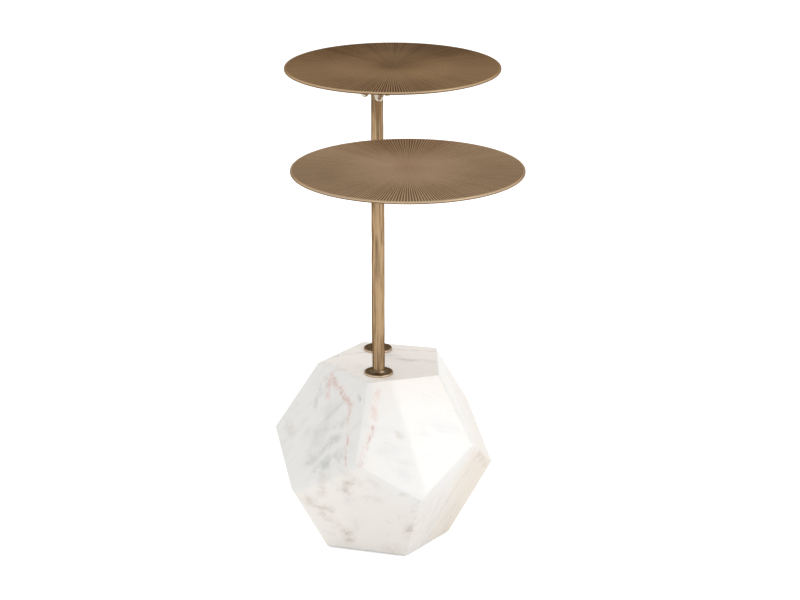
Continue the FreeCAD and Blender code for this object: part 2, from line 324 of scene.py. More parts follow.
RUST_VEINS = (
    ((-59, -34.6, 203.7), (-49.9, -52.3, 195.6), 4.5, 0.75),
    ((-49.9, -52.3, 195.6), (-38.5, -71.2, 189.3), 5, 0.75),
    ((-38.5, -71.2, 189.3), (-42.1, -88.7, 162.2), 2.6, 0.65),
    ((-42.1, -88.7, 162.2), (-45.7, -109.1, 131.5), 2.6, 0.75),
    ((-13.9, -95.3, 169.4), (-16.2, -102.3, 157.7), 3, 0.85),
    ((-16.2, -102.3, 157.7), (-25.4, -114.2, 140.7), 2.6, 0.85),
    ((-25.4, -114.2, 140.7), (-32.2, -120.1, 133.5), 3, 0.6),
    ((-61.3, -27.1, 209.6), (-66, -40.2, 186.3), 4, 0.6),
    ((13.4, 40.3, 215.5), (61.2, 32.4, 215.5), 2.6, 0.55),
    ((-12.3, -67.3, 215.5), (10.5, -57.9, 215.5), 1.8, 0.4),
    ((-36.9, 69.3, 194.2), (-54.3, 69.5, 166.5), 3, 0.7),
    ((-54.3, 69.5, 166.5), (-68.1, 65.7, 149.1), 4, 0.75),
    ((-68.1, 65.7, 149.1), (-99.2, 52.8, 114.9), 2.6, 0.7),
    ((-99.2, 52.8, 114.9), (-98.1, 24.5, 78), 2.6, 0.6),
    ((96.6, 55.8, 147.6), (84.8, 66.2, 99.5), 2.6, 0.6),
)

# How the veins wander and swell, and how far their soft halo and sharp core reach, as shares of the width
MM_PER_METRE = 1000
WANDERS_PER_METRE = 45.0
WANDER_REACH = 0.02
SWELLS_PER_METRE = 110.0
SWELL_GAIN, SWELL_BASE, SWELL_LEAST = 2.6, -0.45, 0.15
HALO_REACH, CORE_REACH = 1.2, 0.8
RAGGED_SPAN = (0.34, 0.62)
# Sets in the order in which they are laid: veins, colour, share of sharp core, blotches to a metre
VEIN_SETS = ((BLUSH_VEINS, BLUSH, 0.0, 110.0), (BROWN_VEINS, BROWN, 0.05, 100.0),
             (GREY_VEINS, GREY, 0.0, 60.0), (RUST_VEINS, RUST, 0.3, 130.0))


def facet_planes(node_name, count):
    """The largest flat faces of a solid, each as its outward direction and its middle."""
    areas = {}
    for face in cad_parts[node_name].data.polygons:
        key = tuple(round(part, 2) for part in face.normal)
        areas.setdefault(key, []).append(face)
    largest = sorted(areas.values(), key=lambda faces: -sum(face.area for face in faces))[:count]
    biggest = [max(faces, key=lambda face: face.area) for faces in largest]
    return [(face.normal.copy(), face.center.copy()) for face in biggest]


def faceted_block(planes, size):
    """What is left of a cube when it is sawn along every plane."""
    shape = bmesh.new()
    bmesh.ops.create_cube(shape, size=size)
    for direction, middle in planes:
        everything = shape.verts[:] + shape.edges[:] + shape.faces[:]
        cut = bmesh.ops.bisect_plane(shape, geom=everything, plane_co=middle, plane_no=direction,
                                     clear_outer=True)
        edges = [part for part in cut["geom_cut"] if isinstance(part, bmesh.types.BMEdge)]
        bmesh.ops.contextual_create(shape, geom=edges)
    bmesh.ops.remove_doubles(shape, verts=shape.verts[:], dist=WELD_GAP)
    bmesh.ops.recalc_face_normals(shape, faces=shape.faces[:])
    bmesh.ops.bevel(shape, geom=shape.edges[:], offset=STONE_EDGE_EASE, segments=EASE_STEPS, profile=0.5,
                    affect="EDGES")
    return finished_mesh("stone_block", shape)


def bore(piece, middle, radius, depth):
    """Cuts an upright round hole into a piece from below."""
    shape = bmesh.new()
    bmesh.ops.create_cone(shape, cap_ends=True, segments=BORE_STEPS, radius1=radius, radius2=radius,
                          depth=2 * depth, matrix=Matrix.Translation(middle))
    cutter = link_piece("borer", finished_mesh("borer", shape))
    cut = piece.modifiers.new("Bore", "BOOLEAN")
    cut.operation = "DIFFERENCE"
    cut.object = cutter
    settle(piece)
    bpy.data.objects.remove(cutter)


def new_tree(name, kind, given, wanted):
    """Node tree with sockets, listed by kind: the tree, its inputs and its outputs, still to be linked."""
    tree = bpy.data.node_groups.new(name, kind + "NodeTree")
    for in_out, sockets in (("INPUT", given), ("OUTPUT", wanted)):
        for socket_kind, names in sockets.items():
            for socket in names:
                tree.interface.new_socket(socket, in_out=in_out, socket_type="NodeSocket" + socket_kind)
    return tree, tree.nodes.new("NodeGroupInput").outputs, tree.nodes.new("NodeGroupOutput").inputs


def use_group(tree, group, **values):
    """Puts a node group into a finish and gives its outputs."""
    return add(tree, "ShaderNodeGroup", values, node_tree=group).node.outputs


def shift(tree, share, first, second):
    """Number that goes from the first to the second as the share goes from 0 to 1."""
    return calc(tree, "MULTIPLY_ADD", share, minus(tree, second, first), first)


def dot(tree, first, second):
    """Sum of the products of two rows of numbers."""
    total = times(tree, first[0], second[0])
    for one, other in zip(first[1:], second[1:]):
        total = calc(tree, "MULTIPLY_ADD", one, other, total)
    return total


def vein_group():
    """Mask of one vein: a soft band along a line through the stone, with a narrower broken core.
    Plain numbers instead of vectors leave the renderer room for all the veins of a block."""
    tree, given, results = new_tree(
        "vein", "Shader", {"Vector": ["Place", "Start", "End"], "Float": ["Width", "Swell", "Core"]},
        {"Float": ["Mask"]})
    place, start, end = (split(tree, given[name]) for name in ("Place", "Start", "End"))
    way = [minus(tree, end[axis], start[axis]) for axis in "XYZ"]
    away = [minus(tree, place[axis], start[axis]) for axis in "XYZ"]
    along = calc(tree, "DIVIDE", dot(tree, away, way), dot(tree, way, way), use_clamp=True)
    off = [minus(tree, gone, times(tree, along, step)) for gone, step in zip(away, way)]
    gap = calc(tree, "SQRT", dot(tree, off, off))
    share = calc(tree, "DIVIDE", gap, given["Width"])
    core = calc(tree, "DIVIDE", share, given["Swell"])
    halo = between(tree, share, HALO_REACH, 0.0)
    sharp = between(tree, core, CORE_REACH, 0.0)
    tree.links.new(shift(tree, given["Core"], halo, sharp), results["Mask"])
    return tree


def lay_veins(tree, group, place, swell, colour, veins, vein_colour, core, blotches):
    """Draws a set of veins over a colour, with a share of sharp core, broken into blotches."""
    mask = None
    for start, end, width, strength in veins:
        start, end = ([part / MM_PER_METRE for part in point] for point in (start, end))
        shown = use_group(tree, group, Place=place, Start=start, End=end, Width=width / MM_PER_METRE,
                          Swell=swell, Core=core)
        shown = times(tree, shown["Mask"], strength)
        mask = shown if mask is None else calc(tree, "MAXIMUM", mask, shown)
    broken = noise(tree, place, blotches, detail=5.0, roughness=0.7)
    ragged = between(tree, broken, *RAGGED_SPAN)
    return blend(tree, times(tree, mask, ragged), colour, paint(*vein_colour))


def vector_calc(tree, operation, *values):
    """One step of arithmetic on vectors."""
    return add(tree, "ShaderNodeVectorMath", dict(enumerate(values)), operation=operation)


def marble_finish():
    """Polished marble: painted shade on the left upper side, a painted highlight in a spot on the front
    right, a peach side that is partly painted warm light, grey beds, brown specks and the veins.
    """
    material, tree, shader = new_finish("polished_marble")
    group = vein_group()
    place = spot_on(tree)
    bedded = add(tree, "ShaderNodeVectorRotate", {"Vector": place, "Angle": BED_TILT_ANGLE},
                 rotation_type="X_AXIS")
    stretched = vector_calc(tree, "MULTIPLY", bedded, BED_STRETCH)
    beds = noise(tree, stretched, 1.0, detail=6.0, roughness=0.62, distortion=1.0)
    clouds = noise(tree, place, CLOUDS_PER_METRE, detail=4.0, roughness=0.6)
    # Painted shade: cooler and greyer towards the left upper side
    side_shade = between(tree, vector_calc(tree, "DOT_PRODUCT", place, SHADED_SIDE), *SHADED_SIDE_SPAN)
    # Painted highlight: a whiter spot on the front right, with fewer brown specks
    spot_highlight = between(tree, vector_calc(tree, "DISTANCE", place, HIGHLIGHT_SPOT), *HIGHLIGHT_SPAN)
    # Peach towards the right and lower sides, partly the stone's tint and partly painted warm light
    peach_and_light = between(tree, vector_calc(tree, "DOT_PRODUCT", place, PEACH_AND_LIT_SIDE), *PEACH_AND_LIT_SPAN)
    colour = blend(tree, side_shade, paint(*STONE_WARM), paint(*STONE_PAINTED_SHADE))
    colour = blend(tree, peach_and_light, colour, paint(*STONE_PEACH_AND_LIGHT))
    colour = blend(tree, spot_highlight, colour, paint(*STONE_PAINTED_HIGHLIGHT))
    grey = times(tree, between(tree, beds, *BED_SPAN), between(tree, clouds, *BED_CLOUD_SPAN),
                 calc(tree, "MULTIPLY_ADD", side_shade, SHADED_SIDE_BED_SHARE, BED_SHARE))
    colour = blend(tree, grey, colour, paint(*BED_GREY))
    specks = noise(tree, place, SPECKS_PER_METRE, detail=5.0, roughness=0.7, distortion=0.8)
    specks = times(tree, between(tree, specks, *SPECK_SPAN), between(tree, clouds, *SPECK_CLOUD_SPAN),
                   minus(tree, 1.0, spot_highlight), SPECK_SHARE)
    colour = blend(tree, specks, colour, paint(*BROWN))
    drift = noise(tree, place, WANDERS_PER_METRE, detail=6.0, roughness=0.72).node.outputs["Color"]
    drift = vector_calc(tree, "SUBTRACT", drift, (0.5, 0.5, 0.5))
    drift = vector_calc(tree, "SCALE", drift, WANDER_REACH)
    wandered = vector_calc(tree, "ADD", place, drift)
    swell = noise(tree, place, SWELLS_PER_METRE, detail=3.0, roughness=0.65)
    swell = calc(tree, "MULTIPLY_ADD", swell, SWELL_GAIN, SWELL_BASE)
    swell = calc(tree, "MAXIMUM", swell, SWELL_LEAST)
    for vein_set in VEIN_SETS:
        colour = lay_veins(tree, group, wandered, swell, colour, *vein_set)
    feed(tree, shader, {"Base Color": colour, "Roughness": 0.03})
    return material


planes = facet_planes("marble_base", FACETS)
block = link_piece("stone_block", faceted_block(planes, SAWN_FROM_SIZE))
for side in ("rear", "front"):
    washer_low, washer_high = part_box(side + "_plate_washer")
    axis = (washer_low + washer_high) / 2
    recess_radius = (washer_high.x - washer_low.x) / 2 + RECESS_ROOM
    bore(block, Vector((axis.x, axis.y, 0)), recess_radius, washer_high.z)
polish_edges(block)
mount(block, "marble", marble_finish(), "marble_base")


# Tie rods with their nuts and washers: zinc plated steel, standard M8 parts. Each rod is drawn up through
# the stone into a post's foot by the nut in its recess, over a split washer and a broad washer.

ZINC = (205, 208, 212)
ZINC_DULL = (150, 155, 162)
THREAD_PITCH = 0.00125
THREAD_DEPTH = 0.0006
THREAD_RUN = 0.022
THREAD_STEP = 0.00025
ROUND_STEPS = 48
NUT_STEPS = 72
NUT_FACE_SHARE = 0.95
NUT_BEVEL_ANGLE = math.radians(30)
THREAD_SMOOTH_ANGLE = math.radians(60)
NUT_SMOOTH_ANGLE = math.radians(20)
TURNED_WELD_GAP = 1e-7
TUMBLED_EDGE = 0.0002
TARNISH_PER_METRE = 38.0
GLANCING_GAIN = 0.4627  # share of white that a smooth metal takes on in a view along its surface


def metal_group():
    """Colour and roughness of worn metal: hollow places and clouds of dirt are dark and dull, and for some
    pieces Hollow also brings painted shade and sheen.
    """
    tree, given, results = new_tree(
        "worn_metal", "Shader", {"Vector": ["Place", "Grain"], "Float": ["Hollow", "Cloudy", "Streaks"],
                                 "Color": ["Light", "Dark"]},
        {"Color": ["Colour"], "Float": ["Dullness"]})
    clouds = minus(tree, noise(tree, given["Place"], TARNISH_PER_METRE, detail=5.0, roughness=0.65), 0.5)
    grain = vector_calc(tree, "MULTIPLY", given["Place"], given["Grain"])
    grain = minus(tree, noise(tree, grain, 1.0, detail=3.0, roughness=0.6), 0.5)
    dirt_and_shade = calc(tree, "MULTIPLY_ADD", clouds, given["Cloudy"], given["Hollow"])
    dirt_and_shade = calc(tree, "MULTIPLY_ADD", grain, given["Streaks"], dirt_and_shade, use_clamp=True)
    tree.links.new(blend(tree, dirt_and_shade, given["Light"], given["Dark"]), results["Colour"])
    tree.links.new(dirt_and_shade, results["Dullness"])
    return tree


def metal_finish(name, light, dark, hollow=0.3, cloudy=0.8, streaks=0.5, grain=(300.0, 300.0, 300.0),
                 rough=(0.25, 0.45), metallic=1.0, glancing=1.0, highlight_colour=None):
    """Metal with the worn colours, from bright to dull; a glancing view shows that share of its colour.
    Hollow is a number or the name of an attribute, and the highlight colour is painted where it goes below
    0."""
    material, tree, shader = new_finish(name)
    if isinstance(hollow, str):
        hollow = add(tree, "ShaderNodeAttribute", attribute_name=hollow).node.outputs["Fac"]
    worn = use_group(tree, WORN_METAL, Place=spot_on(tree), Grain=grain, Hollow=hollow, Cloudy=cloudy,
                     Streaks=streaks, Light=paint(*light), Dark=paint(*dark))
    colour = worn["Colour"]
    if highlight_colour:
        colour = blend(tree, calc(tree, "MULTIPLY", hollow, -1.0, use_clamp=True), colour, paint(*highlight_colour))
    middle = [(first + second) / 2 for first, second in zip(paint(*light), paint(*dark))]
    tint = [glancing * part / (part + GLANCING_GAIN * (1 - part)) for part in middle[:3]]
    feed(tree, shader, {"Base Color": colour, "Roughness": shift(tree, worn["Dullness"], *rough),
                        "Metallic": metallic, "Specular Tint": (*tint, 1.0)})
    return material


WORN_METAL = metal_group()


def turned(name, outline, steps, smooth_angle):
    """Round piece: outline(angle) gives its (x, y, z, wear) points at one angle, and the ends of it meet."""
    shape = bmesh.new()
    wear_layer = shape.verts.layers.float.new("wear")
    rows = []
    for step in range(steps):
        row = []
        for x, y, z, wear in outline(2 * math.pi * step / steps):
            corner = shape.verts.new((x, y, z))
            corner[wear_layer] = wear
            row.append(corner)
        rows.append(row)
    for here, there in zip(rows, rows[1:] + rows[:1]):
        for index in range(len(here) - 1):
            shape.faces.new((here[index], there[index], there[index + 1], here[index + 1]))
    bmesh.ops.remove_doubles(shape, verts=shape.verts[:], dist=TURNED_WELD_GAP)
    bmesh.ops.recalc_face_normals(shape, faces=shape.faces[:])
    mesh = finished_mesh(name, shape)
    mesh.shade_smooth()
    mesh.set_sharp_from_angle(angle=smooth_angle)
    return link_piece(name, mesh)


def round_points(axis, angle, profile):
    """Places a profile of (radius, height, wear) points round an upright axis."""
    return [(axis.x + radius * math.cos(angle), axis.y + radius * math.sin(angle), height, wear)
            for radius, height, wear in profile]


def hex_side(angle, flats, corner_angle):
    """Distance from the axis to the side of a nut, and how far the turned corners drop there."""
    turn = (angle - corner_angle) % (math.pi / 3) - math.pi / 6
    side = flats / 2 / math.cos(turn)
    return side, (side - flats / 2 * NUT_FACE_SHARE) * math.tan(NUT_BEVEL_ANGLE)


def farthest_corner(node_name, middle, reach=math.inf):
    """Angle and distance of the corner, of those in reach, that lies farthest from an upright axis."""
    gaps = [vertex.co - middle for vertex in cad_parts[node_name].data.vertices]
    away = max((gap for gap in gaps if gap.length < reach), key=lambda gap: gap.x ** 2 + gap.y ** 2)
    return math.atan2(away.y, away.x), math.hypot(away.x, away.y)


def threaded_rod(name, axis, low, high, radius):
    """Rod with a rolled thread at its lower end."""
    thread_rows = int(THREAD_RUN / THREAD_STEP)
    core = radius - THREAD_DEPTH

    def outline(angle):
        profile = [(0, low, 0), (core, low, 0)]
        for row in range(1, thread_rows):
            height = low + row * THREAD_STEP
            phase = (height / THREAD_PITCH - angle / (2 * math.pi)) % 1
            profile.append((radius - THREAD_DEPTH * abs(2 * phase - 1), height, 0))
        profile += [(core, low + THREAD_RUN, 0), (core, high, 0), (0, high, 0)]
        return round_points(axis, angle, profile)

    return turned(name, outline, ROUND_STEPS, THREAD_SMOOTH_ANGLE)


def bevelled_nut(name, axis, low, high, flats, corner_angle, bore_radius):
    """Hexagon nut with its corners turned off at both faces."""
    face_radius = flats / 2 * NUT_FACE_SHARE

    def outline(angle):
        side, drop = hex_side(angle, flats, corner_angle)
        return round_points(axis, angle, [
            (bore_radius, low, 0), (face_radius, low, 0), (side, low + drop, 0), (side, high - drop, 0),
            (face_radius, high, 0), (bore_radius, high, 0), (bore_radius, low, 0)])

    return turned(name, outline, NUT_STEPS, NUT_SMOOTH_ANGLE)


zinc = metal_finish("zinc_plate", ZINC, ZINC_DULL, hollow=0.2, cloudy=0.9, rough=(0.28, 0.45))
for side in ("rear", "front"):
    rod_low, rod_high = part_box(side + "_tie_rod")
    rod_axis = (rod_low + rod_high) / 2
    rod_radius = (rod_high.x - rod_low.x) / 2
    rod = threaded_rod(side + "_draw_rod", rod_axis, rod_low.z, rod_high.z, rod_radius)
    mount(rod, "zinc_steel", zinc, side + "_tie_rod")
    nut_low, nut_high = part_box(side + "_hex_nut")
    nut_angle, nut_corner = farthest_corner(side + "_hex_nut", rod_axis)
    nut = bevelled_nut(side + "_draw_nut", rod_axis, nut_low.z, nut_high.z, nut_corner * math.sqrt(3),
                       nut_angle, rod_radius - THREAD_DEPTH / 2)
    mount(nut, "zinc_steel", zinc, side + "_hex_nut")
    for washer in (side + "_spring_washer", side + "_plate_washer"):
        mount(softened(washer + "_ring", washer, TUMBLED_EDGE), "zinc_steel", zinc, washer)


# Rosettes: round foot plates of dark antiqued brass on the stone's top, one under each post.
# Their upper edge is rounded and worn bright, and a lumpy bead of braze holds each to its post.

BRONZE_LIGHT = (226, 204, 178)
BRONZE_DARK = (116, 96, 78)
ROSETTE_EDGE = 0.0011
ROSETTE_EDGE_STEPS = 4
ROSETTE_FOOT_EASE = 0.0003
ROSETTE_STEPS = 120
ROSETTE_SMOOTH_ANGLE = math.radians(50)
EDGE_WEAR, EDGE_WEAR_STEP = 0.05, 0.2
DARK_FROM_RIM = 0.0028
BEAD_STEPS = 5
BEAD_RIPPLES = 9
BEAD_WANDER = 1.3
BEAD_MEAN, BEAD_UNEVEN = 0.8, 0.1
BEAD_HOLLOW = 0.8
BEAD_WEAR = 0.95
# Painted highlight: a light patch on the bead of braze, to the front right
GLINT_SHARE = 0.9
GLINT_ANGLE = math.radians(296)
GLINT_SPREAD = 0.35
POST_RADIUS = 0.0072
ROD_HOLE = 0.0041


def bead_lump(angle, phase):
    """How far a bead of braze reaches at an angle, as a share of its full leg."""
    ripple = abs(math.sin(BEAD_RIPPLES * angle + BEAD_WANDER * math.sin(3 * angle + phase)))
    return BEAD_MEAN + BEAD_UNEVEN * ripple + BEAD_UNEVEN * math.sin(2 * angle + phase)


def foot_plate(name, axis, low, high, radius, plate_high, phase):
    """Rosette with a rounded, worn rim and the bead of braze round the post."""
    leg = high - plate_high

    def outline(angle):
        profile = [(ROD_HOLE, low, 1), (radius - ROSETTE_FOOT_EASE, low, 1),
                   (radius, low + ROSETTE_FOOT_EASE, 0.0)]
        for step in range(ROSETTE_EDGE_STEPS + 1):
            turn = math.pi / 2 * step / ROSETTE_EDGE_STEPS
            profile.append((radius - ROSETTE_EDGE * (1 - math.cos(turn)),
                            plate_high - ROSETTE_EDGE * (1 - math.sin(turn)),
                            EDGE_WEAR + EDGE_WEAR_STEP * step))
        profile.append((radius - DARK_FROM_RIM, plate_high, 1))
        lump = leg * bead_lump(angle, phase)
        # Painted highlight on the bead, to the front right
        painted_glint = GLINT_SHARE * math.exp(-((angle - GLINT_ANGLE) / GLINT_SPREAD) ** 2)
        for step in range(BEAD_STEPS + 1):
            turn = math.pi / 2 * step / BEAD_STEPS
            out = lump * (1 - BEAD_HOLLOW * math.sin(turn)) if step < BEAD_STEPS else 0
            up = lump * (1 - BEAD_HOLLOW * math.cos(turn)) if step else 0
            profile.append((POST_RADIUS + out, plate_high + up, BEAD_WEAR - painted_glint))
        profile += [(ROD_HOLE, plate_high, 1), (ROD_HOLE, low, 1)]
        return round_points(axis, angle, profile)

    return turned(name, outline, ROSETTE_STEPS, ROSETTE_SMOOTH_ANGLE)


bronze = metal_finish("dark_bronze", BRONZE_LIGHT, BRONZE_DARK, hollow="wear", cloudy=1.2, rough=(0.3, 0.45))
for side, phase in (("rear", 0.0), ("front", 2.1)):
    foot_low, foot_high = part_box(side + "_rosette")
    post_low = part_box(side + "_post")[0]
    foot = foot_plate(side + "_foot_plate", (foot_low + foot_high) / 2, foot_low.z, foot_high.z,
                      (foot_high.x - foot_low.x) / 2, post_low.z, phase)
    mount(foot, "dark_bronze", bronze, side + "_rosette")


# Posts: solid brass bar, forged by hand, so long shallow hammer flats run up it. It is antiqued dark and
# rubbed back on the ridges. Each stands on its rosette and is drawn down by the tie rod inside its foot.

BRASS_LIGHT = (199, 168, 130)
BRASS_DARK = (80, 60, 40)
POST_SLACK = 0.0001
FULL_TURN = -2 * math.pi
FLAT_LEAN = 5.0
FLAT_SPAN = (0.75, 0.05)
FLAT_SMOOTHNESS = 0.25
FLAT_DIRT_SHARE = 0.35
PLAIN_END_ROWS = (1.0, 8.0)
# Painted shade: each post is darker towards its head, under the tops
HEAD_SHADE_SPAN = (0.55, 0.95)
# Each post is darker towards its foot
FOOT_DARKENING_SPAN = (0.28, 0.0)
POST_SIZES = {"Flat Width": 0.0050, "Flat Length": 0.030, "Flat Depth": 0.0003, "Foot Darkening": 0.42,
              "Round Steps": 96, "Height Steps": 206}


def new_rule(name, **sizes):
    """Geometry Nodes tree with named inputs of each kind: the tree, its inputs and its outputs."""
    return new_tree(name, "Geometry", {"Geometry": ["Geometry"], **sizes, "Material": ["Material"]},
                    {"Geometry": ["Geometry"]})


def close_rule(tree, given, results, geometry):
    """Ends a tree: real mesh instead of copies, with its material."""
    geometry = add(tree, "GeometryNodeRealizeInstances", {"Geometry": geometry})
    geometry = add(tree, "GeometryNodeSetMaterial", {"Geometry": geometry, "Material": given["Material"]})
    tree.links.new(geometry, results["Geometry"])
    return tree


def grow(piece, tree, **sizes):
    """Gives a piece the shape that a tree makes from these sizes."""
    rule = piece.modifiers.new("Rule", "NODES")
    rule.node_group = tree
    for socket in tree.interface.items_tree:
        if socket.in_out == "INPUT" and socket.name in sizes:
            rule[socket.identifier] = sizes[socket.name]
    return settle(piece)


def sheet_places(tree, across, up):
    """Flat grid to be rolled up: its mesh, and how far across and up each point lies, from 0 to 1."""
    sheet = add(tree, "GeometryNodeMeshGrid", {"Size X": 1.0, "Size Y": 1.0, "Vertices X": across,
                                               "Vertices Y": up})
    place = split(tree, add(tree, "GeometryNodeInputPosition"))
    return sheet, calc(tree, "ADD", place["X"], 0.5), calc(tree, "ADD", place["Y"], 0.5)


def round_place(tree, radius, angle, height):
    """Point at this distance and angle from an upright axis, and at this height."""
    return add(tree, "ShaderNodeCombineXYZ", {
        "X": times(tree, radius, calc(tree, "COSINE", angle)),
        "Y": times(tree, radius, calc(tree, "SINE", angle)), "Z": height})


def keep_value(tree, mesh, name, value):
    """Keeps one value of each point for the finish."""
    return add(tree, "GeometryNodeStoreNamedAttribute", {"Geometry": mesh, "Name": name, "Value": value},
               data_type="FLOAT", domain="POINT")


def roll_up(tree, sheet, angle, radius, height, centre):
    """Rolls a sheet round an upright axis."""
    place = vector_calc(tree, "ADD", round_place(tree, radius, angle, height), centre)
    return add(tree, "GeometryNodeSetPosition", {"Geometry": sheet, "Position": place})


def close_seams(tree, mesh):
    """Joins the seam and the ends of what was rolled up, and smooths its shading."""
    joined = add(tree, "GeometryNodeMergeByDistance", {"Geometry": mesh, "Distance": WELD_GAP})
    return add(tree, "GeometryNodeSetShadeSmooth", {"Geometry": joined})


def hammered_bar():
    """Round bar with long flats struck into it, closed at both ends."""
    tree, given, results = new_rule(
        "hammered_bar", Vector=["Centre"],
        Float=["Radius", "Length", "Flat Width", "Flat Length", "Flat Depth", "Head Shade", "Foot Darkening",
               "Seed"],
        Int=["Round Steps", "Height Steps"])
    around = calc(tree, "ADD", given["Round Steps"], 1.0)
    sheet, turn, rise = sheet_places(tree, around, given["Height Steps"])
    last = minus(tree, given["Height Steps"], 1.0)
    row = times(tree, rise, last)
    end = calc(tree, "MINIMUM", row, minus(tree, last, row))
    closed = calc(tree, "ADD", end, 0.0, use_clamp=True)
    height = calc(tree, "DIVIDE", minus(tree, row, 1.0), minus(tree, last, 2.0), use_clamp=True)
    head = between(tree, height, *HEAD_SHADE_SPAN)
    toe = between(tree, height, *FOOT_DARKENING_SPAN)
    height = times(tree, height, given["Length"])
    angle = times(tree, turn, FULL_TURN)
    lean = calc(tree, "MULTIPLY_ADD", height, FLAT_LEAN, angle)
    spread = calc(tree, "DIVIDE", given["Radius"], given["Flat Width"])
    strikes = calc(tree, "ADD", calc(tree, "DIVIDE", height, given["Flat Length"]), given["Seed"])
    strike = round_place(tree, spread, lean, strikes)
    gap = add(tree, "ShaderNodeTexVoronoi", {"Vector": strike, "Scale": 1.0, "Smoothness": FLAT_SMOOTHNESS},
              feature="SMOOTH_F1", voronoi_dimensions="3D")
    hollow = between(tree, gap, *FLAT_SPAN)
    depth = times(tree, given["Flat Depth"], hollow, between(tree, end, *PLAIN_END_ROWS))
    radius = times(tree, minus(tree, given["Radius"], depth), closed)
    # Darker towards the foot
    dirt_and_shade = times(tree, toe, given["Foot Darkening"])
    # Painted shade towards the head, under the tops, and dark patina in the hammer flats
    dirt_and_shade = calc(tree, "MULTIPLY_ADD", head, given["Head Shade"], dirt_and_shade)
    dirt_and_shade = calc(tree, "MULTIPLY_ADD", hollow, FLAT_DIRT_SHARE, dirt_and_shade)
    bar = roll_up(tree, keep_value(tree, sheet, "hollow", dirt_and_shade), angle, radius, height, given["Centre"])
    return close_rule(tree, given, results, close_seams(tree, bar))


forged = metal_finish("forged_brass", BRASS_LIGHT, BRASS_DARK, hollow="hollow", cloudy=0.6,
                      streaks=2.8, grain=(560.0, 560.0, 18.0), rough=(0.28, 0.42), glancing=0.2)
bar_rule = hammered_bar()
for side, seed, head_shade in (("rear", 5.0, 0.22), ("front", 11.0, 0.15)):
    post_low, post_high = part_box(side + "_post")
    foot = Vector(((post_low.x + post_high.x) / 2, (post_low.y + post_high.y) / 2, post_low.z))
    bar = grow(link_piece(side + "_forged_bar"), bar_rule, Centre=foot, Radius=POST_RADIUS - POST_SLACK,
               Length=post_high.z - post_low.z, Seed=seed, Material=forged,
               **POST_SIZES, **{"Head Shade": head_shade})
    mount(bar, "forged_brass", forged, side + "_post")


# Mount plates: three-cornered plates of antiqued brass, sawn, tumbled and brazed to the head of each post.
# Bright cap nuts over thin lock washers hold the top's three studs down to the plate from below.

STEEL_BRIGHT = (224, 215, 198)
STEEL_DULL = (186, 178, 164)
PLATE_EDGE = 0.0004
LOCK_RING_EDGE = 0.0001
CAP_NUT_REACH = 0.01
CAP_HEX_SHARE = 0.421
NUT_DOME_STEPS = 8
DOME_SHARE = 0.95


def island_middles(node_name):
    """Middle of each separate solid in a node."""
    shape = welded(node_name)
    left = dict.fromkeys(shape.verts)
    middles = []
    while left:
        corners, front = [], [left.popitem()[0]]
        while front:
            vertex = front.pop()
            corners.append(vertex.co)
            for edge in vertex.link_edges:
                other = edge.other_vert(vertex)
                if other in left:
                    del left[other]
                    front.append(other)
        low, high = (Vector(pick(corner[axis] for corner in corners) for axis in range(3))
                     for pick in (min, max))
        middles.append((low + high) / 2)
    shape.free()
    return middles


def cap_nut(name, height, flats, corner_angle):
    """Hexagon nut closed by a polished dome, hanging from its seat at the origin."""
    hex_height = height * CAP_HEX_SHARE
    dome = flats / 2 * DOME_SHARE
    face_radius = flats / 2 * NUT_FACE_SHARE

    def outline(angle):
        side, drop = hex_side(angle, flats, corner_angle)
        profile = [(0, 0, 0), (face_radius, 0, 0), (side, -drop, 0), (side, drop - hex_height, 0),
                   (face_radius, -hex_height, 0), (dome, -hex_height, 0)]
        for step in range(NUT_DOME_STEPS + 1):
            turn = math.pi / 2 * step / NUT_DOME_STEPS
            profile.append((dome * math.cos(turn), dome - height - dome * math.sin(turn), 0))
        return round_points(Vector((0, 0, 0)), angle, profile)

    return turned(name, outline, NUT_STEPS, NUT_SMOOTH_ANGLE)


def round_set():
    """Copies of one piece at even steps on a level circle."""
    tree, given, results = new_rule("round_set", Int=["Count"], Float=["Circle Radius", "Turn"],
                                    Vector=["Centre"])
    circle = add(tree, "GeometryNodeMeshCircle", {"Vertices": given["Count"],
                                                  "Radius": given["Circle Radius"]}, fill_type="NONE")
    turn = add(tree, "ShaderNodeCombineXYZ", {"Z": given["Turn"]})
    circle = add(tree, "GeometryNodeTransform", {"Geometry": circle, "Translation": given["Centre"],
                                                 "Rotation": turn})
    copies = add(tree, "GeometryNodeInstanceOnPoints", {"Points": circle, "Instance": given["Geometry"]})
    return close_rule(tree, given, results, copies)


plated = metal_finish("nickel_plate", STEEL_BRIGHT, STEEL_DULL, hollow=0.05, cloudy=0.4, rough=(0.12, 0.25))
brazed = metal_finish("brazed_plate", BRONZE_LIGHT, BRONZE_DARK, hollow=0.75, cloudy=0.6, rough=(0.32, 0.45))
nut_rule = round_set()
for tier in ("upper", "lower"):
    mount(softened(tier + "_head_plate", tier + "_mount_plate", PLATE_EDGE), "dark_bronze", brazed,
          tier + "_mount_plate")
    mount(softened(tier + "_lock_rings", tier + "_lock_washers", LOCK_RING_EDGE), "bright_steel", plated,
          tier + "_lock_washers")
    middles = island_middles(tier + "_cap_nuts")
    centre = sum(middles, Vector()) / len(middles)
    first = middles[0] - centre
    nut_low, nut_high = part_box(tier + "_cap_nuts")
    nut_angle, nut_corner = farthest_corner(tier + "_cap_nuts", middles[0], CAP_NUT_REACH)
    nut = cap_nut(tier + "_domed_nuts", nut_high.z - nut_low.z, nut_corner * math.sqrt(3), nut_angle)
    grow(nut, nut_rule, Count=len(middles), Turn=math.atan2(first.y, first.x), Material=plated,
         Centre=Vector((centre.x, centre.y, nut_high.z)), **{"Circle Radius": math.hypot(first.x, first.y)})
    mount(nut, "bright_steel", plated, tier + "_cap_nuts")
    coat(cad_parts[tier + "_studs"].data, zinc)


# Tops: thin round plates of cast aluminium in an antique brass finish. Fine radial flutes deepen from the
# centre to a plain land at the rounded rim; the crests are rubbed light and the valleys stay dark.

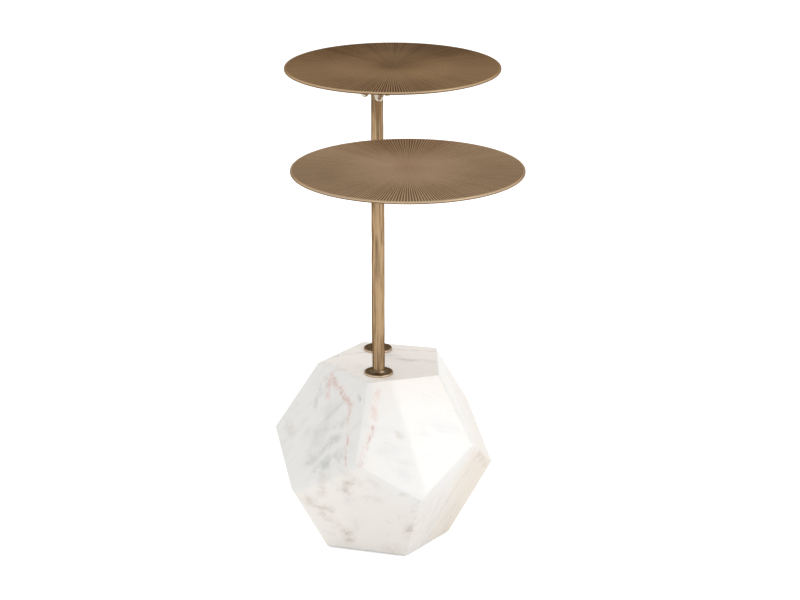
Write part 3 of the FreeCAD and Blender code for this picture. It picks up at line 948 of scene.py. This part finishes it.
TOP_SIZES = {"Flutes": 240, "Flute Depth": 0.0008, "Flute Width": 0.82, "Flute Start": 0.011,
             "Rim Land": 0.002, "Side Stripe Shade": 0.82, "Under Tone": 0.35, "Steps": 8, "Rings": 32,
             "Seed": 7}
FLUTE_RUN_OUT = 0.0008
RIM_SQUARENESS = 0.7
RING_CROWDING = 1.6
FACE_SHARE = 0.72
VALLEY_SPAN = (0.15, 0.75)
VALLEY_RUN = 0.75
CREST_RUN = 0.45
CREST_SPEED = 0.6
FAN_POWER = 4.0
RAY_SHARE = 0.09
RAY_RUN = 0.1
RIM_TONE = 0.6
# Painted highlight: pale metal along the front of each rim
RIM_HIGHLIGHT = (200, 180, 152)
RIM_HIGHLIGHT_TONE = -1.0
RUBBED_SPAN = (0.0015, 0.0003)
FRONT_HIGHLIGHT_SPAN = (-0.1, -0.8)
# Painted shade on the side of the rim, below its edge
RIM_SIDE_SHADE_SPAN = (-0.15, -0.6)
RIM_SIDE_SHADE_TONE = 0.8
TOP_COLOURS = {"upper": ((211, 175, 132), (80, 52, 27)), "lower": ((216, 184, 148), (86, 62, 40))}
# The centre and crest tones are the finish; the other values paint sheen and shade, lighter or darker
# towards the back, front and sides
TOP_TONES = {
    "upper": {"Centre Tone": 0.82, "Crest Tone": 0.44, "Back Shade": 0.2, "Lengthwise Sheen": 0.15,
              "Sheen Speed": 0.4, "Back Stripe Shade": 0.2},
    "lower": {"Centre Tone": 0.47, "Crest Tone": 0.32, "Back Shade": -0.06, "Lengthwise Sheen": -0.25,
              "Sheen Speed": 1.0, "Back Stripe Shade": 1.0}}


def fluted_plate():
    """Round plate, flat below, with a rounded rim and flutes that deepen towards it."""
    tree, given, results = new_rule(
        "fluted_plate", Vector=["Centre"],
        Float=["Radius", "Thickness", "Flute Depth", "Flute Width", "Flute Start", "Rim Land", "Centre Tone",
               "Crest Tone", "Back Shade", "Lengthwise Sheen", "Sheen Speed", "Back Stripe Shade", "Side Stripe Shade",
               "Under Tone"],
        Int=["Flutes", "Seed", "Steps", "Rings"])
    around = times(tree, given["Flutes"], given["Steps"])
    sheet, turn, out = sheet_places(tree, calc(tree, "ADD", around, 1.0), given["Rings"])
    # Section: a flat face with its rings crowded towards the edge, then half a rounded square for the rim
    face = calc(tree, "DIVIDE", out, FACE_SHARE, use_clamp=True)
    rim = calc(tree, "DIVIDE", minus(tree, out, FACE_SHARE), 1 - FACE_SHARE, use_clamp=True)
    face = minus(tree, 1.0, calc(tree, "POWER", minus(tree, 1.0, face), RING_CROWDING))
    half = calc(tree, "DIVIDE", given["Thickness"], 2.0)
    flat = minus(tree, given["Radius"], half)
    bend = calc(tree, "MULTIPLY_ADD", rim, -math.pi, math.pi / 2)
    swing = calc(tree, "POWER", calc(tree, "ABSOLUTE", calc(tree, "COSINE", bend)), RIM_SQUARENESS)
    lift = calc(tree, "SINE", bend)
    squared = calc(tree, "POWER", calc(tree, "ABSOLUTE", lift), RIM_SQUARENESS)
    lift = times(tree, calc(tree, "SIGN", lift), squared)
    radius = calc(tree, "MULTIPLY_ADD", half, swing, times(tree, flat, face))
    height = times(tree, half, minus(tree, lift, 1.0))
    # Flutes: hollow across, from nothing at their start to full depth at the land
    end = minus(tree, given["Radius"], given["Rim Land"])
    ramp = calc(tree, "DIVIDE", minus(tree, radius, given["Flute Start"]),
                minus(tree, end, given["Flute Start"]), use_clamp=True)
    stop = between(tree, radius, end, minus(tree, end, FLUTE_RUN_OUT))
    flute = times(tree, turn, given["Flutes"])
    across = calc(tree, "ABSOLUTE", calc(tree, "MULTIPLY_ADD", calc(tree, "FRACT", flute), 2.0, -1.0))
    groove = calc(tree, "POWER", calc(tree, "DIVIDE", across, given["Flute Width"]), 2.0)
    groove = calc(tree, "MAXIMUM", minus(tree, 1.0, groove), 0.0)
    depth = times(tree, groove, ramp, stop, given["Flute Depth"])
    height = minus(tree, height, depth)
    # Tone: crests lighter outwards and valleys dark, the valleys with painted shade of their own to front,
    # back and sides, and the plate with painted sheen and shade towards front and back
    angle = times(tree, turn, FULL_TURN)
    backward = calc(tree, "SINE", angle)
    fan = calc(tree, "POWER", calc(tree, "ABSOLUTE", backward), FAN_POWER)
    # Painted shade: the dark patina of the valleys is made stronger to the front than at the sides and back
    most = shift(tree, calc(tree, "GREATER_THAN", backward, 0.0), 1.0, given["Back Stripe Shade"])
    valley = times(tree, between(tree, groove, *VALLEY_SPAN), between(tree, ramp, 0.0, VALLEY_RUN), stop,
                   shift(tree, fan, given["Side Stripe Shade"], most))
    crest = calc(tree, "POWER", calc(tree, "DIVIDE", ramp, CREST_RUN, use_clamp=True), CREST_SPEED)
    crest = shift(tree, crest, given["Centre Tone"], given["Crest Tone"])
    tone = shift(tree, valley, crest, 1.0)
    ray = add(tree, "FunctionNodeRandomValue", {"Min": -0.5, "Max": 0.5, "ID": calc(tree, "FLOOR", flute),
                                                "Seed": given["Seed"]}, data_type="FLOAT")
    ray = times(tree, ray, between(tree, ramp, 0.0, RAY_RUN))
    tone = calc(tree, "MULTIPLY_ADD", ray, RAY_SHARE, tone)
    # Painted sheen and shade: lighter or darker towards the back, and towards front and back against the
    # sides
    sheen_and_shade = calc(tree, "MULTIPLY_ADD", backward, given["Lengthwise Sheen"], given["Back Shade"])
    sheen_and_shade = times(tree, sheen_and_shade, backward, calc(tree, "POWER", ramp, given["Sheen Speed"]))
    tone = calc(tree, "ADD", tone, sheen_and_shade)
    # Rim: rubbed on its edge, with a painted highlight of pale metal along its front, and painted shade on
    # its side below
    rubbed = between(tree, minus(tree, given["Radius"], radius), *RUBBED_SPAN)
    rim_tone = shift(tree, between(tree, backward, *FRONT_HIGHLIGHT_SPAN), RIM_TONE, RIM_HIGHLIGHT_TONE)
    rim_side_shade = between(tree, calc(tree, "DIVIDE", height, given["Thickness"]), *RIM_SIDE_SHADE_SPAN)
    tone = shift(tree, rubbed, tone, rim_tone)
    tone = shift(tree, rim_side_shade, tone, RIM_SIDE_SHADE_TONE)
    plate = roll_up(tree, keep_value(tree, sheet, "tone", tone), angle, radius, height, given["Centre"])
    under = add(tree, "GeometryNodeMeshCircle", {"Vertices": around, "Radius": flat}, fill_type="NGON")
    under = keep_value(tree, under, "tone", given["Under Tone"])
    under = add(tree, "GeometryNodeFlipFaces", {"Mesh": under})
    below = add(tree, "ShaderNodeCombineXYZ", {"Z": times(tree, given["Thickness"], -1.0)})
    below = vector_calc(tree, "ADD", below, given["Centre"])
    under = add(tree, "GeometryNodeTransform", {"Geometry": under, "Translation": below})
    joined = tree.nodes.new("GeometryNodeJoinGeometry")
    for part in (under, plate):
        tree.links.new(part, joined.inputs[0])
    return close_rule(tree, given, results, close_seams(tree, joined.outputs[0]))


plate_rule = fluted_plate()
for tier, (light, dark) in TOP_COLOURS.items():
    top_low, top_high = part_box(tier + "_top")
    top_middle = Vector(((top_low.x + top_high.x) / 2, (top_low.y + top_high.y) / 2, top_high.z))
    finish = metal_finish(tier + "_fluted_brass", light, dark, hollow="tone", cloudy=0.12, streaks=0.1,
                          rough=(0.4, 0.55), metallic=0.6, highlight_colour=RIM_HIGHLIGHT)
    plate = grow(link_piece(tier + "_fluted_plate"), plate_rule, Centre=top_middle,
                 Radius=(top_high.x - top_low.x) / 2, Thickness=top_high.z - top_low.z,
                 Material=finish, **TOP_SIZES, **TOP_TONES[tier])
    mount(plate, "fluted_brass", finish, tier + "_top")


# Floor, light and camera: a white paper sweep under three soft boxes, seen from the photograph's place.
# The sweep looks white to the eye. Polished surfaces mirror a room that is dimmer at the back and above.

EYE = (-0.0362, -2.7934, 1.2245)
EYE_DOWN_ANGLE = math.radians(18.503)
EYE_RIGHT_ANGLE = math.radians(1.121)
LENS = 115.465
SENSOR = 36.0
AMBIENT = 0.82
MIRRORED_SKY = 0.9
MIRRORED_BACK = 0.62
MIRRORED_CEILING = 0.5
BACK_SPAN = (0.3, -0.4)
CEILING_START, CEILING_END = 0.3, 0.9
SWEEP_REACH = 12
SWEEP_WHITE = 0.9
SWEEP_GLOW = 0.5

camera = link_piece("camera", bpy.data.cameras.new("camera"))
camera.data.lens = LENS
camera.data.sensor_width = SENSOR
camera.location = EYE
camera.rotation_euler = (math.pi / 2 - EYE_DOWN_ANGLE, 0, -EYE_RIGHT_ANGLE)
bpy.context.scene.camera = camera


def seen_share(tree):
    """1 for the rays that show the sweep straight to the eye or through glass."""
    path = add(tree, "ShaderNodeLightPath").node.outputs
    return calc(tree, "MAXIMUM", path["Is Camera Ray"], path["Is Transmission Ray"])


world = bpy.data.worlds.new("studio")
world.use_nodes = True
bpy.context.scene.world = world
sky_tree = world.node_tree
sky_way = split(sky_tree, add(sky_tree, "ShaderNodeNewGeometry").node.outputs["Normal"])
level = shift(sky_tree, between(sky_tree, sky_way["Y"], *BACK_SPAN), MIRRORED_SKY, MIRRORED_BACK)
climb = calc(sky_tree, "ABSOLUTE", sky_way["Z"])
mirrored = add(sky_tree, "ShaderNodeMapRange", {"Value": climb, "From Min": CEILING_START,
                                                "From Max": CEILING_END, "To Min": level,
                                                "To Max": MIRRORED_CEILING})
glossy = add(sky_tree, "ShaderNodeLightPath").node.outputs["Is Glossy Ray"]
strength = shift(sky_tree, glossy, AMBIENT, mirrored)
strength = shift(sky_tree, seen_share(sky_tree), strength, 1.0)
feed(sky_tree, sky_tree.nodes["Background"], {"Color": (1, 1, 1, 1), "Strength": strength})

floor = link_piece("floor")
floor_corners = [(x * SWEEP_REACH, y * SWEEP_REACH, 0) for x, y in ((-1, -1), (1, -1), (1, 1), (-1, 1))]
floor.data.from_pydata(floor_corners, [], [(0, 1, 2, 3)])
floor_material, floor_tree, floor_shader = new_finish("white_sweep")
glow = times(floor_tree, seen_share(floor_tree), SWEEP_GLOW)
feed(floor_tree, floor_shader, {
    "Base Color": (SWEEP_WHITE, SWEEP_WHITE, SWEEP_WHITE, 1), "Roughness": 1.0, "Specular IOR Level": 0.0,
    "Emission Color": (1, 1, 1, 1), "Emission Strength": glow})
coat(floor.data, floor_material)


def soft_box(name, place, aim, width, power, roll_angle=0.0, mirrored=True):
    """Square lamp with a cloth front, rolled on its stand."""
    lamp = bpy.data.lights.new(name, "AREA")
    lamp.size = width
    lamp.energy = power
    light = link_piece(name, lamp)
    light.location = place
    turn = (Vector(aim) - Vector(place)).to_track_quat("-Z", "Y")
    light.rotation_euler = (turn @ Quaternion((0, 0, 1), roll_angle)).to_euler()
    light.visible_glossy = mirrored


soft_box("right_box", place=(1.62, -1.29, 1.25), aim=(0, 0, 0.15), width=1.16, power=9.2,
         roll_angle=math.radians(-7))
soft_box("back_box", place=(-0.65, 1.3, 1.5), aim=(0, 0, 0.2), width=1.2, power=12.5, mirrored=False)
soft_box("front_fill", place=(-0.7, -2.4, 0.5), aim=(0, 0, 0.1), width=1.4, power=3.5)

bpy.context.scene.view_settings.view_transform = "Standard"
